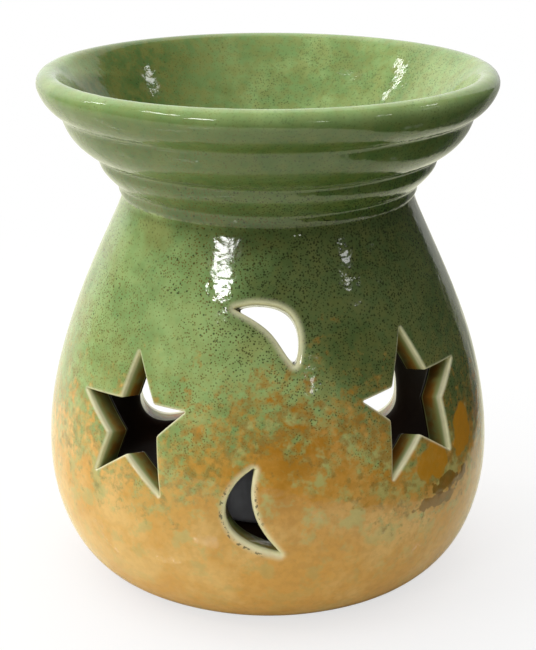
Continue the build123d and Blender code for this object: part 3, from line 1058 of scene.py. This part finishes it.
def two_tone_glaze(colours):
    """Glossy reactive glaze: green over honey with a blotchy border between them and rust mottles
    along it, runs beside the right star, thin and pale along the cut-outs' edges with dark marks by
    the lower moon, pooled dark in creases, and brown inside, darkened with depth as painted shade."""
    material, tree, shader, vector = new_material("two_tone_glaze")
    across, along, height = place(tree, "ShaderNodeSeparateXYZ", {"Vector": vector}).outputs
    gap, depth, pool, under = (
        place(tree, "ShaderNodeAttribute", attribute_name=name).outputs["Fac"]
        for name in ("gap", "depth", "pool", "under"))

    border = maths(tree, "ADD", between(tree, across, -0.024, 0.0, 0.039, 0.0475),
                   between(tree, across, 0.009, 0.028, 0.0, -0.010))
    field = times(tree, maths(tree, "SUBTRACT", border, height), 80.0)
    for size, seed, pull in ((0.018, 11.0, 2.0), (0.0046, 12.0, 2.4), (0.0016, 13.0, 4.8)):
        noise = clouds(tree, vector, size, seed, detail=3.0, output="Value")
        field = maths(tree, "ADD", field, times(tree, maths(tree, "SUBTRACT", noise, 0.5), pull))
    green = green_glaze(tree, vector, across, along, height, under, colours)
    honey = honey_glaze(tree, vector, across, height, colours)
    colour = blended(tree, between(tree, field, -1.0, 1.0), green, honey)
    mottle = times(tree, clouds(tree, vector, 0.0022, 14.0, 0.46, 0.60, 4.0),
                   between(tree, across, -0.028, 0.004, 0.35, 0.6))
    meeting = between(tree, maths(tree, "ABSOLUTE", field), 0.1, 1.1, 1.0, 0.0)
    colour = blended(tree, times(tree, meeting, mottle), colour, colours.rust)

    runs = zip(STAINS, (colours.amber_run, colours.amber_run, colours.brown_run, colours.brown_run))
    for (where, reach, noise_size, noise_share, share), tone in runs:
        inputs = {"Vector": vector, "Place": where, "Reach": reach, "Noise Size": noise_size,
                  "Noise Share": noise_share}
        stain = grouped(tree, "glaze_stain", stain_group, inputs, "Mask")
        colour = blended(tree, times(tree, stain, share), colour, tone)

    for steepness, share, tone in ((2.2, 0.8, colours.olive), (-1.3, 0.3, colours.fresh_green)):
        bend = maths(tree, "MULTIPLY", pool, steepness, clamp=True)
        colour = blended(tree, times(tree, bend, share), colour, tone)

    tunnel = blended(tree, clouds(tree, vector, 0.0065, 16.0, 0.36, 0.76), colours.tunnel_brown,
                     colours.leaf_green)
    # Painted shade: the tunnels darken with depth towards the chamber's colour.
    tunnel = blended(tree, between(tree, depth, 0.35, 0.90, 0.0, 0.62), tunnel, colours.chamber_brown_and_shade)
    start = between(tree, height, 0.030, 0.036, 0.06, 0.16)
    end = between(tree, height, 0.030, 0.036, 0.22, 0.50)
    tunnel = blended(tree, between(tree, depth, start, end), colours.lip_sage, tunnel)
    arris = times(tree, between(tree, depth, 0.93, 0.96), between(tree, depth, 0.985, 0.999, 0.5, 0.0))
    tunnel = blended(tree, arris, tunnel, colours.lip_sage)
    colour = blended(tree, between(tree, depth, 0.0, 0.10), colour, tunnel)

    edge = times(tree, between(tree, gap, 0.0, 1.0, 1.0, 0.0), between(tree, depth, 0.04, 0.26, 1.0, 0.0))
    broken = clouds(tree, vector, 0.0024, 15.0, 0.30, 0.60, 3.0)
    edge = times(tree, maths(tree, "POWER", edge, 1.3), maths(tree, "MULTIPLY_ADD", broken, 0.15, 0.85))
    colour = blended(tree, edge, colour, colours.cream)
    limits = ((gap, 0.30, 0.42), (gap, 0.60, 0.80, 1.0, 0.0), (across, -0.018, -0.016),
              (across, -0.002, 0.0, 1.0, 0.0), (along, -0.02, -0.01, 1.0, 0.0),
              (height, 0.034, 0.037, 0.75, 0.0))
    marks = times(tree, clouds(tree, vector, 0.0009, 18.0, 0.52, 0.58, 2.0),
                  *(between(tree, *values) for values in limits))
    colour = blended(tree, marks, colour, colours.speck)
    # The chamber's inside is brown glaze darkened as painted shade.
    within = between(tree, depth, 0.985, 1.0)
    colour = blended(tree, within, colour, colours.chamber_brown_and_shade)

    tree.links.new(colour, shader.inputs["Base Color"])
    shader.inputs["IOR"].default_value = 1.6
    smear = clouds(tree, vector, 0.010, 17.0, 0.4, 0.7)
    rough = maths(tree, "MULTIPLY_ADD", smear, 0.06, 0.07)
    tree.links.new(maths(tree, "MULTIPLY_ADD", within, 0.5, rough), shader.inputs["Roughness"])
    tree.links.new(maths(tree, "MULTIPLY_ADD", within, -0.42, 0.5), shader.inputs["Specular IOR Level"])
    ripples = grouped(tree, "fired_ripples", ripple_group, {"Vector": vector}, "Height")
    bumped(tree, shader, ripples, 0.00018)
    return material


def pressed_aluminium(colour):
    """Thin pressed aluminium: bright metal with faint creases and a soft sheen."""
    material, tree, shader, vector = new_material("pressed_aluminium")
    clouded(tree, shader, vector, (0.004, 21.0, 0.3, 0.7), dimmed(colour, 0.8), (0.40, 0.52))
    shader.inputs["Metallic"].default_value = 0.5
    inputs = {"Vector": vector, "Wave Size": 0.005, "Peel Size": 0.001, "Fine Share": 0.2}
    bumped(tree, shader, grouped(tree, "fired_ripples", ripple_group, inputs, "Height"), 0.00006)
    return material


def candle_wax(colour):
    """Set paraffin: milky, faintly clouded, with a soft low gloss."""
    material, tree, shader, vector = new_material("candle_wax")
    clouded(tree, shader, vector, (0.006, 22.0, 0.3, 0.7), dimmed(colour, 0.9), (0.32, 0.46))
    shader.inputs["Subsurface Weight"].default_value = 0.35
    shader.inputs["Subsurface Radius"].default_value = (0.004, 0.003, 0.002)
    shader.inputs["Subsurface Scale"].default_value = 1.0
    ripples = grouped(tree, "fired_ripples", ripple_group, {"Vector": vector}, "Height")
    bumped(tree, shader, ripples, 0.0001)
    return material


def wick_cotton(colour):
    """Waxed cotton, clouded darker as painted shade in the hollows between its fibres."""
    material, tree, shader, vector = new_material("wick_cotton")
    # Painted shade: the cotton is darker where its bump is low.
    shade = clouded(tree, shader, vector, (0.0008, 23.0, 0.35, 0.65), dimmed(colour, 0.7), (0.75, 0.9))
    bumped(tree, shader, shade, 0.0001)
    return material


def tab_steel():
    """Tinned steel of the tab that holds the wick."""
    material, tree, shader, vector = new_material("tab_steel")
    tones = (srgb(150, 152, 154), srgb(196, 198, 200))
    clouded(tree, shader, vector, (0.002, 24.0, 0.3, 0.7), tones, (0.3, 0.45))
    shader.inputs["Metallic"].default_value = 1.0
    return material


def cup_parts(looks):
    """Pressed cup: its outline turned about the axis, with faint upright pleats in its side that fade
    at the foot and at the rolled edge."""
    radius = CUP_HIGH[0] - looks.bead + looks.cup_wall / 2
    top, base = CUP_HIGH[2] - looks.bead, CUP_LOW[2]
    corner, wall, bead = looks.cup_corner, looks.cup_wall, looks.bead
    outline = np.vstack((
        (0, base),
        arc((radius - corner, base + corner), corner, -pi / 2, 0, 10),
        arc((radius - wall / 2, top), bead, radians(-60), radians(240), 18),
        arc((radius - corner, base + corner), corner - wall, 0, -pi / 2, 10),
        (0, base + wall),
    ))
    side = even_steps(outline, CUP_STEP)
    side[0, 0] = side[-1, 0] = 0
    points, faces = turned(side, CUP_COLUMNS)
    turn = np.arctan2(points[:, 0], -points[:, 1])
    reach = np.hypot(points[:, 0], points[:, 1])
    share = np.clip((points[:, 2] - base) / (top - base), 0, 1)
    near_side = np.clip((reach - (radius - corner)) / corner, 0, 1)
    pleat = looks.flute_depth * np.cos(looks.flutes * turn) * np.sin(pi * share) * near_side
    points[:, :2] *= (1 + (pleat - looks.flute_depth) / np.maximum(reach, MILLIMETRE))[:, None]
    return [(points, faces, {})]


def wax_parts(looks):
    """Wax: a block whose sunken top climbs at the cup's side and at the wick, by a height times e to
    the minus distance over a reach."""
    radius, base, top = WAX_HIGH[0], WAX_LOW[2], WAX_HIGH[2]
    corner = looks.cup_corner - looks.cup_wall
    reach = np.linspace(0, radius, WAX_ROWS)[::-1]
    creep = WAX_CREEP * np.exp(-(radius - reach) / WAX_CREEP_REACH)
    climb = WICK_CREEP * np.exp(-(reach - looks.wick_radius) / WICK_CREEP)
    surface = top + creep + np.where(reach > looks.wick_radius, climb, WICK_CREEP) - WAX_SINK
    outline = np.vstack((
        (0, base),
        arc((radius - corner, base + corner), corner, -pi / 2, 0, 8),
        np.column_stack((reach, surface)),
    ))
    points, faces = turned(outline, WAX_COLUMNS)
    return [(points, faces, {})]


def wick_parts(looks):
    """Wick: a round braid carried up a line that leans a little more as it rises, with strands that
    stand out as they wind round it, and rounded off at both ends."""
    share, turn = np.meshgrid(np.linspace(0, 1, WICK_ROWS),
                              2 * pi / WICK_COLUMNS * np.arange(WICK_COLUMNS), indexing="ij")
    height = WICK_LOW[2] + (WICK_HIGH[2] - WICK_LOW[2]) * share
    lean = WICK_LEAN * np.clip((height - WAX_HIGH[2]) / (WICK_HIGH[2] - WAX_HIGH[2]), 0, 1) ** 2
    braid = 1 - WICK_BRAID + WICK_BRAID * np.cos(WICK_STRANDS * turn + WICK_TWIST * share)
    narrow = np.sqrt(np.clip((1 - share) / 0.04, 0, 1)) * np.sqrt(np.clip(share / 0.01, 0, 1))
    reach = looks.wick_radius * WICK_SHARE * braid * narrow
    points = np.column_stack(((reach * np.cos(turn) + lean).ravel(), (reach * np.sin(turn)).ravel(),
                              height.ravel()))
    return [(points, grid_faces(WICK_ROWS, WICK_COLUMNS, closed=True), {})]


def world_light(world):
    """White surroundings where they are seen. They light the object mostly from the left, from behind
    and from above, and it mirrors them white behind and beside it and dim on the camera's side."""
    world.use_nodes = True
    tree = world.node_tree
    tree.nodes.clear()
    direction = place(tree, "ShaderNodeTexCoord").outputs["Generated"]
    across, ahead, up = place(tree, "ShaderNodeSeparateXYZ", {"Vector": direction}).outputs
    start = between(tree, across, -0.6, 0.6, 0.40, 0.80)
    end = between(tree, across, -0.6, 0.6, 0.86, 0.84)
    behind = maths(tree, "MULTIPLY_ADD", up, 0.5, ahead)
    mirrored = between(tree, behind, start, end, FRONT_LIGHT, between(tree, across, 0.0, 0.6, 1.0, 0.6))
    side = times(tree, between(tree, across, -0.9, 0.9, *SIDE_LIGHT),
                 between(tree, ahead, -0.8, 0.4, FRONT_LIGHT, 1.0))
    plain = maths(tree, "MULTIPLY_ADD", between(tree, up, 0.35, 1.0), TOP_LIGHT, side)
    path = place(tree, "ShaderNodeLightPath").outputs
    glossy = path["Is Glossy Ray"]
    level = maths(tree, "ADD", times(tree, maths(tree, "SUBTRACT", 1.0, glossy), plain),
                  times(tree, glossy, mirrored))
    seen = maths(tree, "MAXIMUM", path["Is Camera Ray"], path["Is Transmission Ray"])
    inputs = {"Color": (1, 1, 1, 1), "Strength": maths(tree, "MAXIMUM", level, seen)}
    background = place(tree, "ShaderNodeBackground", inputs)
    output = place(tree, "ShaderNodeOutputWorld")
    tree.links.new(background.outputs[0], output.inputs["Surface"])


def floor_material(colour):
    """Pale floor that fades to plain white away from the object where the camera sees it. To every
    other ray it is smooth, warm and pale, but dark far in front and in front on the right."""
    material, tree, shader, vector = new_material("pale_floor")
    across, ahead, _ = place(tree, "ShaderNodeSeparateXYZ", {"Vector": vector}).outputs
    near, far, slope = FLOOR_SIDE
    line = maths(tree, "ADD", between(tree, across, near, far, FLOOR_FRONT, 0.0),
                 times(tree, maths(tree, "MAXIMUM", across, 0.0), slope))
    reached = times(tree, between(tree, maths(tree, "SUBTRACT", ahead, line), -0.02, 0.03),
                    between(tree, across, 0.07, 0.15, 1.0, 0.28))
    warmer = (colour[0], colour[1], 0.75 * colour[2])
    tree.links.new(blended(tree, reached, (0.02, 0.02, 0.02), warmer), shader.inputs["Base Color"])
    shader.inputs["Roughness"].default_value = 0.03
    matt = place(tree, "ShaderNodeBsdfDiffuse", {"Color": (*colour, 1)}).outputs[0]
    white = place(tree, "ShaderNodeEmission", {"Color": (1, 1, 1, 1)}).outputs[0]
    away = place(tree, "ShaderNodeVectorMath", {0: vector}, operation="LENGTH").outputs["Value"]
    fade = between(tree, away, FLOOR_FADE[0], FLOOR_FADE[1], FLOOR_SHADOW, 1.0)
    shown = place(tree, "ShaderNodeMixShader", {0: fade, 1: matt, 2: white}).outputs[0]
    camera = place(tree, "ShaderNodeLightPath").outputs["Is Camera Ray"]
    mixed = place(tree, "ShaderNodeMixShader", {0: camera, 1: shader.outputs[0], 2: shown})
    tree.links.new(mixed.outputs[0], tree.nodes["Material Output"].inputs["Surface"])
    return material


def softbox(name, turn, rise, size, glow, mirrored=True):
    """Square-edged lamp at a turn from the front and a rise above level, facing the burner. Glow is how
    bright its face is, so its power is glow times pi times its area."""
    lamp = bpy.data.lights.new(name, "AREA")
    lamp.shape = "RECTANGLE"
    lamp.size, lamp.size_y = size
    lamp.energy = glow * pi * size[0] * size[1]
    thing = bpy.data.objects.new(name, lamp)
    turn, rise = radians(turn), radians(rise)
    away = Vector((sin(turn) * cos(rise), -cos(turn) * cos(rise), sin(rise)))
    thing.location = Vector((0, 0, CAD_BOX[1][2] / 2)) + away * LAMP_DISTANCE
    thing.rotation_euler = away.to_track_quat("Z", "Y").to_euler()
    thing.visible_glossy = mirrored
    bpy.context.scene.collection.objects.link(thing)


class BURNER_OT_chamber(bpy.types.Operator):
    """Model the glazed chamber with its stars, moons and doorway"""

    bl_idname = "burner.chamber"
    bl_label = "Glazed chamber"

    def execute(self, context):
        parts = chamber_parts(context.scene.burner_shape)
        make_piece("glazed_chamber", parts, "burner", "burner_body")
        return {"FINISHED"}


class BURNER_OT_dish(bpy.types.Operator):
    """Model the glazed dish with its rings and rolled rim"""

    bl_idname = "burner.dish"
    bl_label = "Glazed dish"

    def execute(self, context):
        parts = dish_parts(context.scene.burner_shape)
        make_piece("glazed_dish", parts, "burner", "dish")
        return {"FINISHED"}


class BURNER_OT_glaze(bpy.types.Operator):
    """Glaze the chamber and the dish in green over honey"""

    bl_idname = "burner.glaze"
    bl_label = "Two-tone glaze"

    def execute(self, context):
        glaze = two_tone_glaze(context.scene.glaze_colours)
        for name in ("glazed_chamber", "glazed_dish"):
            give_material(bpy.data.objects[name], glaze)
        return {"FINISHED"}


class BURNER_OT_tealight(bpy.types.Operator):
    """Model the tea light: its pressed cup, wax, wick and wick tab"""

    bl_idname = "burner.tealight"
    bl_label = "Tea light"

    def execute(self, context):
        looks = context.scene.tealight_looks
        cup = make_piece("pressed_cup", cup_parts(looks), "tealight", "tealight_cup")
        give_material(cup, pressed_aluminium(looks.metal))
        wax = make_piece("poured_wax", wax_parts(looks), "tealight", "tealight_wax")
        give_material(wax, candle_wax(looks.wax))
        wick = make_piece("braided_wick", wick_parts(looks), "tealight", "tealight_wick")
        give_material(wick, wick_cotton(looks.cotton))
        give_material(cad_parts["wick_tab"], tab_steel())
        return {"FINISHED"}


class BURNER_OT_stage(bpy.types.Operator):
    """Set up the pale floor, the soft lamps, the surroundings and the camera"""

    bl_idname = "burner.stage"
    bl_label = "Stage"

    def execute(self, context):
        looks = context.scene.stage_looks
        mesh = bpy.data.meshes.new("floor")
        corners = [(x * FLOOR_REACH, y * FLOOR_REACH, 0) for x, y in ((-1, -1), (1, -1), (1, 1), (-1, 1))]
        mesh.from_pydata(corners, [], [(0, 1, 2, 3)])
        floor = bpy.data.objects.new("floor", mesh)
        context.scene.collection.objects.link(floor)
        give_material(floor, floor_material(looks.floor))
        for name, *values in SOFTBOXES:
            softbox(name, *values)
        softbox("fill", *FILL_LIGHT, mirrored=False)
        world = bpy.data.worlds.new("surroundings")
        context.scene.world = world
        world_light(world)
        camera = bpy.data.objects.new("camera", bpy.data.cameras.new("camera"))
        camera.data.lens = looks.lens
        camera.location = looks.camera_place
        camera.rotation_euler = (pi / 2 - looks.camera_tilt, 0, 0)
        context.scene.collection.objects.link(camera)
        context.scene.camera = camera
        context.scene.view_settings.view_transform = "Standard"
        return {"FINISHED"}


STEPS = (BURNER_OT_chamber, BURNER_OT_dish, BURNER_OT_glaze, BURNER_OT_tealight, BURNER_OT_stage)


class BURNER_PT_panel(bpy.types.Panel):
    """Steps and settings of the oil burner"""

    bl_idname = "BURNER_PT_panel"
    bl_label = "Oil burner"
    bl_space_type = "VIEW_3D"
    bl_region_type = "UI"
    bl_category = "Oil burner"

    def draw(self, context):
        for step in STEPS:
            self.layout.operator(step.bl_idname)
        for name in SETTINGS:
            settings = getattr(context.scene, name)
            box = self.layout.box()
            for key in settings.bl_rna.properties.keys():
                if key not in ("rna_type", "name"):
                    box.prop(settings, key)


SETTINGS = {
    "burner_shape": BurnerShape,
    "glaze_colours": GlazeColours,
    "tealight_looks": TealightLooks,
    "stage_looks": StageLooks,
}


def register():
    """Make the settings, the steps and the panel known to Blender."""
    for name, group in SETTINGS.items():
        bpy.utils.register_class(group)
        setattr(bpy.types.Scene, name, bpy.props.PointerProperty(type=group))
    for kind in (*STEPS, BURNER_PT_panel):
        bpy.utils.register_class(kind)


def unregister():
    """Take them away again."""
    for kind in (BURNER_PT_panel, *reversed(STEPS)):
        bpy.utils.unregister_class(kind)
    for name, group in SETTINGS.items():
        delattr(bpy.types.Scene, name)
        bpy.utils.unregister_class(group)


def main():
    """Build everything step by step."""
    register()
    bpy.ops.burner.chamber()
    bpy.ops.burner.dish()
    bpy.ops.burner.glaze()
    bpy.ops.burner.tealight()
    bpy.ops.burner.stage()


if __name__ == "__main__":
    main()
